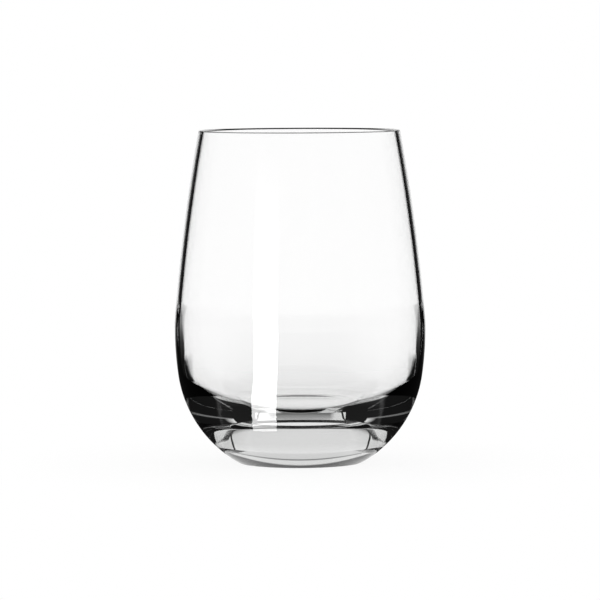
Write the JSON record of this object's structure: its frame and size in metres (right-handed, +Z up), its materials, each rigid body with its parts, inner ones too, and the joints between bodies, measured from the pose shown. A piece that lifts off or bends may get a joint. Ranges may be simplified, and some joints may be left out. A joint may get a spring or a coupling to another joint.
{
  "type": "stemless wine glass",
  "caption": "Clear stemless wine glass: a bowl that swells to a belly, narrows to a plain polished rim and stands on a thick solid base.",
  "frame": {"origin": "middle of the foot ring, on the surface that the glass stands on", "axes": "+Z up along the axis of the glass towards the rim; +X and +Y are alike, because the glass is round"},
  "size_m": [0.0892, 0.0892, 0.1184],
  "materials": {
    "clear_glass": "fire-polished, clear"
  },
  "bodies": {
    "root": {"glass": "clear_glass"}
  },
  "joints": []
}
